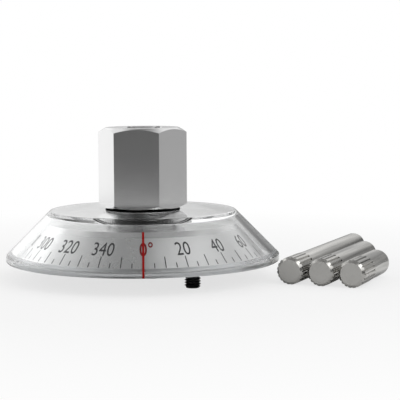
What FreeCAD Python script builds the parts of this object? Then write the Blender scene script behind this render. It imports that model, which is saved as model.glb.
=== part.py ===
import FreeCAD, Part
import math
import os

import Sketcher

# Torque angle gauge. Millimetres, +Z up, origin on the axis at the level of the square's end.
# A hexagon spindle carries a graduated conical dial. Round them stands still a base plate
# with a clear conical cover, and a threaded stud that takes one of three reaction rods.

Vector = FreeCAD.Vector
Rotation = FreeCAD.Rotation
Placement = FreeCAD.Placement

os.makedirs("parts", exist_ok=True)
doc = FreeCAD.newDocument("torque_angle_gauge")

# Driving dimensions: name, value in millimetres or degrees, what it is.
DRIVING = [
    ("rim_radius", 53.0, "outer radius of the clear cover"),
    ("rim_band", 2.9, "upright band round the cover's edge"),
    ("base_height", 7.0, "underside of the base above the square's end"),
    ("deck_radius", 36.0, "flat top of the cover"),
    ("deck_height", 26.5, "flat top of the cover above the square's end"),
    ("deck_thick", 3.0, "thickness of the cover's flat top"),
    ("wall_run", 3.6, "cone wall of the cover, measured level"),
    ("rim_wall", 2.4, "cover wall round the base plate"),
    ("deck_round", 0.9, "rounding of the deck's edge"),
    ("rim_round", 0.35, "rounding of the rim's edges"),
    ("seat_gap", 0.02, "radial clearance of parts that seat in each other"),
    ("run_gap", 0.03, "radial clearance of the journal in its bush"),
    ("edge_thick", 1.4, "base plate under the dial's foot"),
    ("plate_thick", 2.6, "base plate inside the step"),
    ("step_gap", 3.5, "base plate's step inside the dial's foot, measured level"),
    ("hollow_radius", 17.5, "hollow under the hub that clears a socket"),
    ("hub_wall", 2.5, "wall of the raised hub"),
    ("hub_thick", 2.5, "top of the raised hub"),
    ("hub_fillet", 1.5, "fillet at the hub's foot"),
    ("hub_bevel", 0.5, "bevel at the hub's edges"),
    ("foot_gap", 0.3, "gap under the dial's foot"),
    ("dial_gap", 0.5, "gap between the dial's foot and the cover, measured level"),
    ("bevel_gap", 0.87, "gap between the top of the dial's cone and the cover"),
    ("bevel", 2.0, "polished bevel round the dial's top"),
    ("dial_round", 0.4, "rounding of the dial's top edge"),
    ("dial_drop", 2.6, "gap between the dial's top and the deck's underside"),
    ("dial_disc", 2.0, "thickness of the dial's top"),
    ("shell_run", 2.4, "cone wall of the dial, measured level"),
    ("shell_fillet", 1.2, "fillet inside the dial"),
    ("journal_over", 0.02, "journal's radius beyond the drive square's sharp corners"),
    ("collar_step", 3.6, "collar of the spindle beyond its journal"),
    ("hex_flats", 30.0, "hexagon across its flats"),
    ("hex_height", 31.3, "hexagon's height"),
    ("face_step", 0.8, "hexagon's flats beyond the round faces at its ends"),
    ("hex_fall", 0.577, "fall of the hexagon's chamfers per millimetre"),
    ("hex_over", 2.0, "chamfer cutter beyond the hexagon's corners"),
    ("lip_gap", 0.25, "gap between the seal's lip and the hexagon"),
    ("seal_gap", 0.1, "radial clearance of the collar in its seal"),
    ("lip_thick", 0.35, "thickness of the seal's lip"),
    ("lip_over", 1.0, "seal's lip beyond its sleeve"),
    ("sleeve_wall", 0.8, "wall of the seal's sleeve"),
    ("square", 12.7, "drive square across its flats"),
    ("square_round", 0.8, "rounding of the drive square's corners"),
    ("square_bevel", 0.8, "bevel at the drive square's end"),
    ("socket_gap", 0.1, "female square's clearance over the male square"),
    ("socket_depth", 14.0, "depth of the female square"),
    ("socket_bevel", 1.5, "bevel at the female square's mouth"),
    ("pilot_depth", 2.0, "drilled pilot under the female square"),
    ("clip_thick", 1.0, "retaining ring's thickness"),
    ("clip_bite", 0.6, "depth of the retaining ring's groove"),
    ("clip_width", 2.1, "radial width of the retaining ring"),
    ("clip_land", 0.4, "journal left below the groove"),
    ("clip_gap", 1.8, "gap in the retaining ring"),
    ("eye_radius", 1.4, "eyes of the retaining ring"),
    ("eye_hole", 0.6, "holes in the eyes"),
    ("gap_over", 1.0, "gap cutter beyond the retaining ring's eyes"),
    ("wave_height", 0.6, "fitted height of the wave washer"),
    ("wave_strip", 0.25, "strip thickness of the wave washer"),
    ("washer_thick", 0.5, "thickness of the plain washers"),
    ("washer_gap", 0.1, "radial clearance of the washers on the journal"),
    ("flange_thick", 1.0, "thickness of the bush's flange"),
    ("bush_wall", 1.5, "wall of the bush"),
    ("flange_over", 2.0, "bush flange beyond its barrel"),
    ("ball_radius", 2.0, "detent ball"),
    ("ball_proud", 0.7, "ball beyond the drive square's flat"),
    ("ball_gap", 0.05, "radial clearance of the ball in its bore"),
    ("ball_lip", 0.3, "staked lip at the bore's mouth"),
    ("ball_bite", 0.2, "staked lip over the ball"),
    ("bore_past", 2.5, "detent bore past the spindle's axis"),
    ("coil_in", 0.6, "detent spring's wire inside the ball's outline"),
    ("coil_wire", 0.2, "radius of the detent spring's wire"),
    ("screw_in", 2.0, "dial screws' circle outside the journal"),
    ("screw_radius", 1.0, "dial screw's shank"),
    ("screw_head", 1.7, "dial screw's head"),
    ("screw_reach", 3.6, "dial screw's length in the collar"),
    ("screw_sink", 0.1, "dial screw's head below the dial's underside"),
    ("screw_slack", 0.1, "radial clearance of the dial screws in the dial"),
    ("stud_angle", -58.0, "stud's direction from the axis, from +X"),
    ("stud_radius", 3.0, "stud for the reaction rod"),
    ("stud_root", 3.2, "radius of the stud's root in the boss"),
    ("stud_neck", 2.6, "radius of the groove between the stud's thread and its root"),
    ("neck_length", 0.6, "length of that groove, under the base plate"),
    ("stud_bevel", 0.7, "bevel at the stud's ends"),
    ("stud_key", 3.0, "hexagon socket in the stud's end, across flats"),
    ("stud_key_depth", 2.8, "depth of the stud's hexagon socket"),
    ("boss_wall", 3.0, "boss wall round the stud"),
    ("boss_clear", 1.64, "gap between the boss and the dial's inside, measured level"),
    ("boss_height", 6.5, "boss above the base's underside"),
    ("boss_cover", 0.7, "metal over the stud's inner end"),
    ("rod_radius", 5.0, "reaction rod's shank"),
    ("knurl_proud", 0.2, "knurl beyond the shank"),
    ("knurl_length", 15.0, "length of the straight knurl"),
    ("knurl_depth", 0.55, "depth of the knurl's grooves"),
    ("knurl_slope", 0.75, "half width of a knurl groove per millimetre of depth"),
    ("knurl_over", 0.11, "groove cutter beyond the knurl"),
    ("knurl_bevel", 1.0, "bevel at the knurled end"),
    ("rod_bevel", 0.3, "bevel at the plain end"),
    ("thread_depth", 0.5, "depth of the stud's thread"),
    ("rod_bore_depth", 12.0, "depth of the tapped hole"),
    ("long_length", 85.0, "long reaction rod"),
    ("medium_length", 60.0, "medium reaction rod"),
    ("short_length", 35.0, "short reaction rod"),
    ("rod_clear", 2.0, "gap between the rim and the nearest rod"),
    ("rod_gap", 1.6, "gap between the rods as they lie"),
    ("rod_angle", 65.0, "direction in which the rods lie, from +X"),
    ("hex_turn", -8.7, "spindle's turn against the base at rest"),
]

# Sizes that follow from the driving dimensions.
DERIVED = [
    ("rim_top", "base_height + rim_band"),
    ("inner_rim", "rim_radius - wall_run"),
    ("recess_radius", "rim_radius - rim_wall"),
    ("edge_top", "base_height + edge_thick"),
    ("deck_under", "deck_height - deck_thick"),
    ("cover_slope", "(rim_radius - deck_radius) / (deck_height - rim_top)"),
    ("inner_deck", "inner_rim - (deck_under - rim_top) * cover_slope"),
    ("dial_top", "deck_under - dial_drop"),
    ("dial_under", "dial_top - dial_disc"),
    ("dial_foot", "edge_top + foot_gap"),
    ("bevel_low", "dial_top - bevel"),
    ("dial_radius", "inner_rim - dial_gap"),
    ("bevel_radius", "inner_rim - (bevel_low - rim_top) * cover_slope - bevel_gap"),
    ("face_radius", "bevel_radius - bevel * cover_slope"),
    ("dial_slope", "(dial_radius - bevel_radius) / (bevel_low - dial_foot)"),
    ("inner_foot", "dial_radius - shell_run"),
    ("inner_dial", "inner_foot - (dial_under - dial_foot) * dial_slope"),
    ("step_radius", "inner_foot - step_gap"),
    ("square_half", "square / 2"),
    ("journal_radius", "square_half * sqrt(2) + journal_over"),
    ("collar_radius", "journal_radius + collar_step"),
    ("dial_bore", "journal_radius + seat_gap"),
    ("flange_top", "dial_under - washer_thick"),
    ("hub_top", "flange_top - flange_thick"),
    ("hub_under", "hub_top - hub_thick"),
    ("low_washer_under", "hub_under - washer_thick"),
    ("clip_top", "low_washer_under - wave_height"),
    ("clip_under", "clip_top - clip_thick"),
    ("groove_top", "clip_top + seat_gap"),
    ("journal_end", "clip_under - clip_land"),
    ("groove_radius", "journal_radius - clip_bite"),
    ("clip_inner", "groove_radius + seat_gap"),
    ("clip_outer", "clip_inner + clip_width"),
    ("clip_gap_half", "clip_gap / 2"),
    ("eye_side", "clip_gap_half + eye_radius"),
    ("eye_out", "sqrt((clip_inner + eye_radius) ^ 2 - eye_side ^ 2)"),
    ("gap_end", "eye_out + eye_radius + gap_over"),
    ("bush_bore", "journal_radius + run_gap"),
    ("bush_radius", "journal_radius + bush_wall"),
    ("flange_radius", "bush_radius + flange_over"),
    ("hub_bore", "bush_radius + seat_gap"),
    ("hub_radius", "hollow_radius + hub_wall"),
    ("plate_top", "base_height + plate_thick"),
    ("plate_radius", "recess_radius - seat_gap"),
    ("washer_bore", "journal_radius + washer_gap"),
    ("hex_base", "deck_height + lip_gap + lip_thick"),
    ("hex_top", "hex_base + hex_height"),
    ("hex_half", "hex_flats / 2"),
    ("hex_face", "hex_half - face_step"),
    ("hex_corner", "hex_flats / sqrt(3)"),
    ("hex_side_half", "hex_corner / 2"),
    ("hex_clear", "hex_corner + hex_over"),
    ("hex_drop", "(hex_clear - hex_face) * hex_fall"),
    ("hex_drop_low", "hex_base + hex_drop"),
    ("hex_drop_high", "hex_top - hex_drop"),
    ("lip_top", "deck_height + lip_thick"),
    ("sleeve_bore", "collar_radius + seal_gap"),
    ("sleeve_radius", "sleeve_bore + sleeve_wall"),
    ("lip_radius", "sleeve_radius + lip_over"),
    ("neck_bore", "sleeve_radius + seat_gap"),
    ("socket_half", "square_half + socket_gap / 2"),
    ("pilot_end", "hex_top - socket_depth - pilot_depth"),
    ("pilot_tip", "pilot_end - socket_half * hex_fall"),
    ("mouth_radius", "socket_half + socket_bevel"),
    ("mouth_low", "hex_top - socket_bevel"),
    ("ball_height", "journal_end / 2"),
    ("ball_lip_radius", "ball_radius - ball_bite"),
    ("coil_radius", "ball_radius - coil_in"),
    ("ball_place", "square_half + ball_proud - ball_radius"),
    ("detent_bore", "ball_radius + ball_gap"),
    ("detent_length", "square_half - ball_lip + bore_past"),
    ("screw_circle", "journal_radius + screw_in"),
    ("screw_hole", "screw_radius + seat_gap"),
    ("screw_clear", "screw_radius + screw_slack"),
    ("sink_radius", "screw_head + screw_sink + seat_gap"),
    ("boss_top", "base_height + boss_height"),
    ("boss_radius", "stud_radius + boss_wall"),
    ("boss_place", "inner_foot - (boss_top - dial_foot) * dial_slope - boss_clear"),
    ("stud_circle", "boss_place - boss_radius"),
    ("stud_x", "stud_circle * cos(stud_angle * 1 deg)"),
    ("stud_y", "stud_circle * sin(stud_angle * 1 deg)"),
    ("stud_top", "boss_top - boss_cover"),
    ("stud_hole", "stud_root + seat_gap"),
    ("neck_low", "base_height - neck_length"),
    ("stud_key_half", "stud_key / 2"),
    ("stud_key_corner", "stud_key / sqrt(3)"),
    ("stud_key_side", "stud_key_corner / 2"),
    ("knurl_radius", "rod_radius + knurl_proud"),
    ("knurl_floor", "knurl_radius - knurl_depth"),
    ("knurl_out", "knurl_radius + knurl_over"),
    ("knurl_flank", "(knurl_depth + knurl_over) * knurl_slope"),
    ("rod_place", "rim_radius + rod_clear + knurl_radius"),
    ("rod_spacing", "2 * knurl_radius + rod_gap"),
    ("rod_bore", "stud_radius - thread_depth"),
]

NEAR = 1e-4
KNURL_RIBS = 20
DIAL_SCREWS = 3
WAVES = 3
COIL_TURNS = 5
WIRE_SIDES = 6

sheet = doc.addObject("Spreadsheet::Sheet", "Size")
row = 0
for alias, value, words in DRIVING:
    row += 1
    sheet.set("A%d" % row, words)
    sheet.set("B%d" % row, repr(value))
    sheet.setAlias("B%d" % row, alias)
doc.recompute()
for alias, formula in DERIVED:
    row += 1
    sheet.set("A%d" % row, "follows from other sizes")
    sheet.set("B%d" % row, "=" + formula)
    sheet.setAlias("B%d" % row, alias)
doc.recompute()

subparts = []


def size(alias):
    """Value of a named size. A minus sign before the name turns it round."""
    if alias == "0":
        return 0.0
    if alias.startswith("-"):
        return -size(alias[1:])
    return float(sheet.get(alias))


def cell(alias):
    """The expression that reads a named size."""
    if alias.startswith("-"):
        return "-Size." + alias[1:]
    return "Size." + alias


def bind(item, prop, alias):
    """Tie a property to a named size."""
    item.setExpression(prop, cell(alias))


def new_body(label):
    body = doc.addObject("PartDesign::Body", label)
    body.Label = label
    subparts.append(body)
    return body


def plane(body, role):
    for feature in body.Origin.OriginFeatures:
        if feature.Role == role:
            return feature
    raise ValueError(role)


def new_sketch(body, role, name, lift=None):
    """Sketch on one of the body's origin planes, lifted along its normal by a named size."""
    sketch = body.newObject("Sketcher::SketchObject", name)
    sketch.AttachmentSupport = [(plane(body, role), "")]
    sketch.MapMode = "FlatFace"
    if lift is not None:
        sketch.AttachmentOffset = Placement(Vector(0, 0, size(lift)), Rotation())
        bind(sketch, ".AttachmentOffset.Base.z", lift)
    return sketch


def fix_point(sketch, geometry, point, place):
    """Hold a point of the sketch at a pair of named sizes."""
    for kind, alias, axis in (("DistanceX", place[0], -2), ("DistanceY", place[1], -1)):
        if alias == "0":
            sketch.addConstraint(Sketcher.Constraint("PointOnObject", geometry, point, axis))
        else:
            rule = Sketcher.Constraint(kind, -1, 1, geometry, point, size(alias))
            number = sketch.addConstraint(rule)
            bind(sketch, "Constraints[%d]" % number, alias)


def add_outline(sketch, places):
    """Closed outline of straight lines through pairs of named sizes."""
    first = sketch.GeometryCount
    count = len(places)
    for index in range(count):
        start = places[index]
        end = places[(index + 1) % count]
        line = Part.LineSegment(
            Vector(size(start[0]), size(start[1]), 0), Vector(size(end[0]), size(end[1]), 0))
        sketch.addGeometry(line, False)
    for index in range(count):
        after = first + (index + 1) % count
        sketch.addConstraint(Sketcher.Constraint("Coincident", first + index, 2, after, 1))
        fix_point(sketch, first + index, 1, places[index])


def add_circle(sketch, place, radius):
    middle = Vector(size(place[0]), size(place[1]), 0)
    number = sketch.addGeometry(Part.Circle(middle, Vector(0, 0, 1), size(radius)), False)
    rule = sketch.addConstraint(Sketcher.Constraint("Radius", number, size(radius)))
    bind(sketch, "Constraints[%d]" % rule, radius)
    if place == ("0", "0"):
        sketch.addConstraint(Sketcher.Constraint("Coincident", number, 3, -1, 1))
    else:
        fix_point(sketch, number, 3, place)


def turned(body, name, outlines, cut=False):
    """Outlines in the XZ plane turned a full circle round Z, added or cut."""
    sketch = new_sketch(body, "XZ_Plane", name + "_profile")
    for places in outlines:
        add_outline(sketch, places)
    kind = "PartDesign::Groove" if cut else "PartDesign::Revolution"
    before = body.Shape.Volume if cut else 0.0
    feature = body.newObject(kind, name)
    feature.Profile = sketch
    feature.ReferenceAxis = (sketch, ["V_Axis"])
    feature.Angle = 360.0
    doc.recompute()
    if cut and not feature.Shape.Volume < before:
        raise ValueError(name + " cuts nothing")
    return feature


def padded(body, name, sketch, length, down=False):
    feature = body.newObject("PartDesign::Pad", name)
    feature.Profile = sketch
    feature.Length = size(length)
    bind(feature, "Length", length)
    feature.Reversed = down
    doc.recompute()
    return feature


def pocketed(body, name, sketch, depth, up=False):
    before = body.Shape.Volume
    feature = body.newObject("PartDesign::Pocket", name)
    feature.Profile = sketch
    feature.Length = size(depth)
    bind(feature, "Length", depth)
    feature.Reversed = up
    doc.recompute()
    if not feature.Shape.Volume < before:
        raise ValueError(name + " cuts nothing")
    return feature


def edge_names(shape, test):
    return ["Edge%d" % (i + 1) for i, edge in enumerate(shape.Edges) if test(edge)]


def ring_edge(radius, height):
    """Test for a full circle round Z at a named radius and height."""
    def test(edge):
        if not isinstance(edge.Curve, Part.Circle):
            return False
        middle = edge.Curve.Center
        on_axis = math.hypot(middle.x, middle.y) < NEAR
        return (on_axis and abs(edge.Curve.Radius - size(radius)) < NEAR
                and abs(middle.z - size(height)) < NEAR)
    return test


def dressed(body, kind, name, base, tests, amount):
    """Fillet or chamfer on the edges that pass any of the tests."""
    names = []
    for test in tests:
        found = edge_names(base.Shape, test)
        if not found:
            raise ValueError(name + " finds no edge")
        names.extend(found)
    feature = body.newObject("PartDesign::" + kind, name)
    feature.Base = (base, names)
    prop = "Radius" if kind == "Fillet" else "Size"
    setattr(feature, prop, size(amount))
    bind(feature, prop, amount)
    doc.recompute()
    return feature


def washer(label, bore, radius, low, high):
    body = new_body(label)
    outline = [(bore, low), (radius, low), (radius, high), (bore, high)]
    turned(body, label + "_ring", [outline])
    return body


def hexagon(half, corner, side):
    return [(corner, "0"), (side, half), ("-" + side, half),
            ("-" + corner, "0"), ("-" + side, "-" + half), (side, "-" + half)]


def four_corners(half):
    return [(half, half), ("-" + half, half), ("-" + half, "-" + half), (half, "-" + half)]


def turn_with_spindle(item):
    """Turn a piece of the spindle to its rest angle."""
    item.Placement = Placement(Vector(0, 0, 0), Rotation(Vector(0, 0, 1), size("hex_turn")))
    bind(item, ".Placement.Rotation.Angle", "hex_turn")


def drilled(body, name, radius, length, place, along_x=False):
    """Round cut at a place given by three named sizes, along Z or along X."""
    before = body.Shape.Volume
    feature = body.newObject("PartDesign::SubtractiveCylinder", name)
    feature.AttachmentSupport = [(plane(body, "XY_Plane"), "")]
    feature.MapMode = "FlatFace"
    spin = Rotation(Vector(0, 1, 0), 90) if along_x else Rotation()
    feature.AttachmentOffset = Placement(Vector(*[size(alias) for alias in place]), spin)
    for letter, alias in zip("xyz", place):
        if alias != "0":
            bind(feature, ".AttachmentOffset.Base." + letter, alias)
    feature.Radius = size(radius)
    feature.Height = size(length)
    bind(feature, "Radius", radius)
    bind(feature, "Height", length)
    doc.recompute()
    if not feature.Shape.Volume < before:
        raise ValueError(name + " cuts nothing")
    return feature


def patterned(body, name, originals, count):
    """Copies of features round the body's Z axis."""
    axis = [f for f in body.Origin.OriginFeatures if f.Role == "Z_Axis"][0]
    before = body.Shape.Volume
    feature = body.newObject("PartDesign::PolarPattern", name)
    feature.Originals = originals
    feature.Axis = (axis, [""])
    feature.Angle = 360
    feature.Occurrences = count
    body.Tip = feature
    doc.recompute()
    if not abs(feature.Shape.Volume - before) > NEAR:
        raise ValueError(name + " changes nothing")
    return feature


# Clear conical cover
def make_cover():
    body = new_body("cover")
    shell = turned(body, "cover_shell", [[
        ("recess_radius", "base_height"), ("rim_radius", "base_height"),
        ("rim_radius", "rim_top"), ("deck_radius", "deck_height"),
        ("neck_bore", "deck_height"), ("neck_bore", "deck_under"),
        ("inner_deck", "deck_under"), ("inner_rim", "rim_top"),
        ("inner_rim", "edge_top"), ("recess_radius", "edge_top")]])
    soft = dressed(body, "Fillet", "deck_edge", shell,
                   [ring_edge("deck_radius", "deck_height")], "deck_round")
    dressed(body, "Fillet", "rim_edges", soft,
            [ring_edge("rim_radius", "rim_top"), ring_edge("rim_radius", "base_height")],
            "rim_round")


# Base plate with the raised hub and the stud's boss
def make_base_plate():
    body = new_body("base_plate")
    plate = turned(body, "plate_turning", [[
        ("hollow_radius", "base_height"), ("plate_radius", "base_height"),
        ("plate_radius", "edge_top"), ("step_radius", "edge_top"),
        ("step_radius", "plate_top"), ("hub_radius", "plate_top"),
        ("hub_radius", "hub_top"), ("hub_bore", "hub_top"),
        ("hub_bore", "hub_under"), ("hollow_radius", "hub_under")]])
    foot = dressed(body, "Fillet", "hub_foot", plate,
                   [ring_edge("hub_radius", "plate_top")], "hub_fillet")
    dressed(body, "Chamfer", "hub_edges", foot,
            [ring_edge("hub_radius", "hub_top"), ring_edge("hollow_radius", "base_height")],
            "hub_bevel")
    sketch = new_sketch(body, "XY_Plane", "boss_outline", "base_height")
    add_circle(sketch, ("stud_x", "stud_y"), "boss_radius")
    padded(body, "stud_boss", sketch, "boss_height")
    drilled(body, "stud_hole_cut", "stud_hole", "stud_top", ("stud_x", "stud_y", "0"))


# Flanged bush in the hub
def make_bush():
    body = new_body("bush")
    turned(body, "bush_turning", [[
        ("bush_bore", "hub_under"), ("bush_radius", "hub_under"),
        ("bush_radius", "hub_top"), ("flange_radius", "hub_top"),
        ("flange_radius", "flange_top"), ("bush_bore", "flange_top")]])


# Threaded stud for the reaction rods
def make_stud():
    body = new_body("rod_stud")
    shank = turned(body, "stud_shank", [[
        ("0", "0"), ("stud_radius", "0"), ("stud_radius", "neck_low"),
        ("stud_neck", "neck_low"), ("stud_neck", "base_height"),
        ("stud_root", "base_height"), ("stud_root", "stud_top"), ("0", "stud_top")]])
    dressed(body, "Chamfer", "stud_ends", shank,
            [ring_edge("stud_root", "stud_top"), on_base_ring("stud_radius")], "stud_bevel")
    sketch = new_sketch(body, "XY_Plane", "stud_key_outline")
    add_outline(sketch, hexagon("stud_key_half", "stud_key_corner", "stud_key_side"))
    pocketed(body, "stud_key_pocket", sketch, "stud_key_depth", up=True)
    body.Placement = Placement(Vector(size("stud_x"), size("stud_y"), 0), Rotation())
    bind(body, ".Placement.Base.x", "stud_x")
    bind(body, ".Placement.Base.y", "stud_y")


def on_base_ring(radius):
    """Test for a full circle round Z at a named radius and at height zero."""
    def test(edge):
        return (isinstance(edge.Curve, Part.Circle)
                and abs(edge.Curve.Radius - size(radius)) < NEAR
                and abs(edge.Curve.Center.z) < NEAR)
    return test


# Spindle: hexagon, collar, journal and drive square in one piece
def make_spindle():
    body = new_body("spindle")
    turned(body, "journal", [[
        ("0", "journal_end"), ("journal_radius", "journal_end"),
        ("journal_radius", "clip_under"), ("groove_radius", "clip_under"),
        ("groove_radius", "groove_top"), ("journal_radius", "groove_top"),
        ("journal_radius", "dial_top"), ("collar_radius", "dial_top"),
        ("collar_radius", "hex_base"), ("0", "hex_base")]])
    sketch = new_sketch(body, "XY_Plane", "hexagon_outline", "hex_base")
    add_outline(sketch, hexagon("hex_half", "hex_corner", "hex_side_half"))
    padded(body, "hexagon", sketch, "hex_height")
    turned(body, "hexagon_chamfers", [
        [("hex_face", "hex_top"), ("hex_clear", "hex_drop_high"), ("hex_clear", "hex_top")],
        [("hex_face", "hex_base"), ("hex_clear", "hex_base"), ("hex_clear", "hex_drop_low")],
    ], cut=True)
    sketch = new_sketch(body, "XY_Plane", "socket_outline", "hex_top")
    add_outline(sketch, four_corners("socket_half"))
    pocketed(body, "socket", sketch, "socket_depth")
    turned(body, "socket_pilot", [
        [("0", "hex_top"), ("socket_half", "hex_top"), ("socket_half", "pilot_end"),
         ("0", "pilot_tip")],
    ], cut=True)
    turned(body, "socket_mouth", [
        [("socket_half", "hex_top"), ("mouth_radius", "hex_top"), ("socket_half", "mouth_low")],
    ], cut=True)
    sketch = new_sketch(body, "XY_Plane", "square_outline")
    add_outline(sketch, four_corners("square_half"))
    square = padded(body, "drive_square", sketch, "journal_end")

    def corner(edge):
        ends = [vertex.Point for vertex in edge.Vertexes]
        half = size("square_half")
        return (len(ends) == 2
                and min(ends[0].z, ends[1].z) < NEAR
                and max(ends[0].z, ends[1].z) > half
                and all(abs(abs(end.x) - half) < NEAR and abs(abs(end.y) - half) < NEAR
                        for end in ends))

    corners = dressed(body, "Fillet", "square_corners", square, [corner], "square_round")

    def end_edge(edge):
        return all(abs(vertex.Point.z) < NEAR for vertex in edge.Vertexes)

    dressed(body, "Chamfer", "square_end", corners, [end_edge], "square_bevel")
    drilled(body, "detent_bore_cut", "detent_bore", "detent_length",
            ("-bore_past", "0", "ball_height"), along_x=True)
    drilled(body, "detent_mouth", "ball_lip_radius", "square_half",
            ("ball_place", "0", "ball_height"), along_x=True)
    hole = drilled(body, "screw_hole_cut", "screw_hole", "screw_reach",
                   ("screw_circle", "0", "dial_top"))
    patterned(body, "screw_holes", [hole], DIAL_SCREWS)
    turn_with_spindle(body)


# Dial: a satin cone with a polished bevel, screwed to the spindle's collar
def make_dial():
    body = new_body("dial")
    shell = turned(body, "dial_shell", [[
        ("dial_bore", "dial_under"), ("inner_dial", "dial_under"),
        ("inner_foot", "dial_foot"), ("dial_radius", "dial_foot"),
        ("bevel_radius", "bevel_low"), ("face_radius", "dial_top"),
        ("dial_bore", "dial_top")]])
    inside = dressed(body, "Fillet", "dial_inside", shell,
                     [ring_edge("inner_dial", "dial_under")], "shell_fillet")
    dressed(body, "Fillet", "dial_edge", inside,
            [ring_edge("face_radius", "dial_top")], "dial_round")
    hole = drilled(body, "dial_screw_hole", "screw_clear", "dial_top",
                   ("screw_circle", "0", "0"))
    sink = body.newObject("PartDesign::SubtractiveCone", "dial_screw_sink")
    sink.AttachmentSupport = [(plane(body, "XY_Plane"), "")]
    sink.MapMode = "FlatFace"
    sink.AttachmentOffset = Placement(
        Vector(size("screw_circle"), 0, size("dial_under")), Rotation())
    bind(sink, ".AttachmentOffset.Base.x", "screw_circle")
    bind(sink, ".AttachmentOffset.Base.z", "dial_under")
    bind(sink, "Radius1", "sink_radius")
    bind(sink, "Height", "sink_radius")
    sink.Radius2 = 0.0
    doc.recompute()
    patterned(body, "dial_screw_holes", [hole, sink], DIAL_SCREWS)
    turn_with_spindle(body)


# Black seal pressed into the cover's neck, with a lip on the deck
def make_neck_seal():
    body = new_body("neck_seal")
    turned(body, "seal_ring", [[
        ("sleeve_bore", "deck_under"), ("sleeve_radius", "deck_under"),
        ("sleeve_radius", "deck_height"), ("lip_radius", "deck_height"),
        ("lip_radius", "lip_top"), ("sleeve_bore", "lip_top")]])


# Retaining ring with its gap and two eyes
def make_circlip():
    body = new_body("circlip")
    sketch = new_sketch(body, "XY_Plane", "ring_outline", "clip_under")
    add_circle(sketch, ("0", "0"), "clip_outer")
    add_circle(sketch, ("0", "0"), "clip_inner")
    padded(body, "ring", sketch, "clip_thick")
    for side, name in (("", "left_eye"), ("-", "right_eye")):
        sketch = new_sketch(body, "XY_Plane", name + "_outline", "clip_under")
        add_circle(sketch, ("eye_out", side + "eye_side"), "eye_radius")
        padded(body, name, sketch, "clip_thick")
        drilled(body, name + "_hole", "eye_hole", "clip_top", ("eye_out", side + "eye_side", "0"))
    sketch = new_sketch(body, "XY_Plane", "gap_outline", "clip_under")
    add_outline(sketch, [("0", "clip_gap_half"), ("0", "-clip_gap_half"),
                         ("gap_end", "-clip_gap_half"), ("gap_end", "clip_gap_half")])
    pocketed(body, "gap", sketch, "clip_thick", up=True)
    turn_with_spindle(body)


# Group of solids as one sub-part
def group(label, solids):
    item = doc.addObject("Part::Feature", label)
    item.Label = label
    item.Shape = Part.makeCompound(solids) if len(solids) > 1 else solids[0]
    subparts.append(item)
    return item


def make_dial_screws():
    low = size("dial_under") + size("screw_sink")
    head = size("screw_head")
    shank = size("screw_radius")
    top = size("dial_top") + size("screw_reach") - size("screw_sink")
    points = [Vector(0, 0, low), Vector(head, 0, low), Vector(shank, 0, low + head - shank),
              Vector(shank, 0, top), Vector(0, 0, top)]
    face = Part.Face(Part.makePolygon(points + points[:1]))
    screw = face.revolve(Vector(0, 0, 0), Vector(0, 0, 1), 360)
    screw.translate(Vector(size("screw_circle"), 0, 0))
    solids = []
    for index in range(DIAL_SCREWS):
        copy = screw.copy()
        angle = size("hex_turn") + index * 360.0 / DIAL_SCREWS
        copy.rotate(Vector(0, 0, 0), Vector(0, 0, 1), angle)
        solids.append(copy)
    group("dial_screws", solids)


# Wave washer: a strip that rises and falls round the journal
def make_wave_washer():
    bore = size("washer_bore")
    radius = size("flange_radius")
    strip = size("wave_strip")
    middle = size("clip_top") + size("wave_height") / 2
    swing = (size("wave_height") - strip) / 2
    steps = 12 * WAVES
    sections = []
    for step in range(steps):
        angle = 2 * math.pi * step / steps
        height = middle + swing * math.cos(WAVES * angle)
        corners = []
        for reach, lift in ((bore, -1), (radius, -1), (radius, 1), (bore, 1)):
            corners.append(Vector(reach * math.cos(angle), reach * math.sin(angle),
                                  height + lift * strip / 2))
        sections.append(Part.makePolygon(corners + corners[:1]))
    loft = Part.makeLoft(sections, True, True, True)
    group("wave_washer", [loft.Solids[0]])


# Detent ball and its spring in the drive square
def make_detent():
    body = new_body("detent_ball")
    ball = body.newObject("PartDesign::AdditiveSphere", "ball")
    ball.AttachmentSupport = [(plane(body, "XY_Plane"), "")]
    ball.MapMode = "FlatFace"
    ball.AttachmentOffset = Placement(
        Vector(size("ball_place"), 0, size("ball_height")), Rotation())
    bind(ball, ".AttachmentOffset.Base.x", "ball_place")
    bind(ball, ".AttachmentOffset.Base.z", "ball_height")
    bind(ball, "Radius", "ball_radius")
    doc.recompute()
    turn_with_spindle(body)

    wire = size("coil_wire")
    coil = size("coil_radius")
    back = wire - size("bore_past")
    reach = size("ball_radius") + wire
    front = size("ball_place") - math.sqrt(reach * reach - coil * coil)
    length = front - back
    helix = Part.makeHelix(length / COIL_TURNS, length, coil)
    corners = []
    for index in range(WIRE_SIDES + 1):
        angle = 2 * math.pi * index / WIRE_SIDES
        corners.append(Vector(coil + wire * math.cos(angle), 0, wire * math.sin(angle)))
    spring = Part.Wire(helix).makePipeShell([Part.makePolygon(corners)], True, True)
    spring.rotate(Vector(0, 0, 0), Vector(0, 1, 0), 90)
    spring.translate(Vector(back, 0, size("ball_height")))
    spring.rotate(Vector(0, 0, 0), Vector(0, 0, 1), size("hex_turn"))
    group("detent_spring", [spring.Solids[0]])


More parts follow.
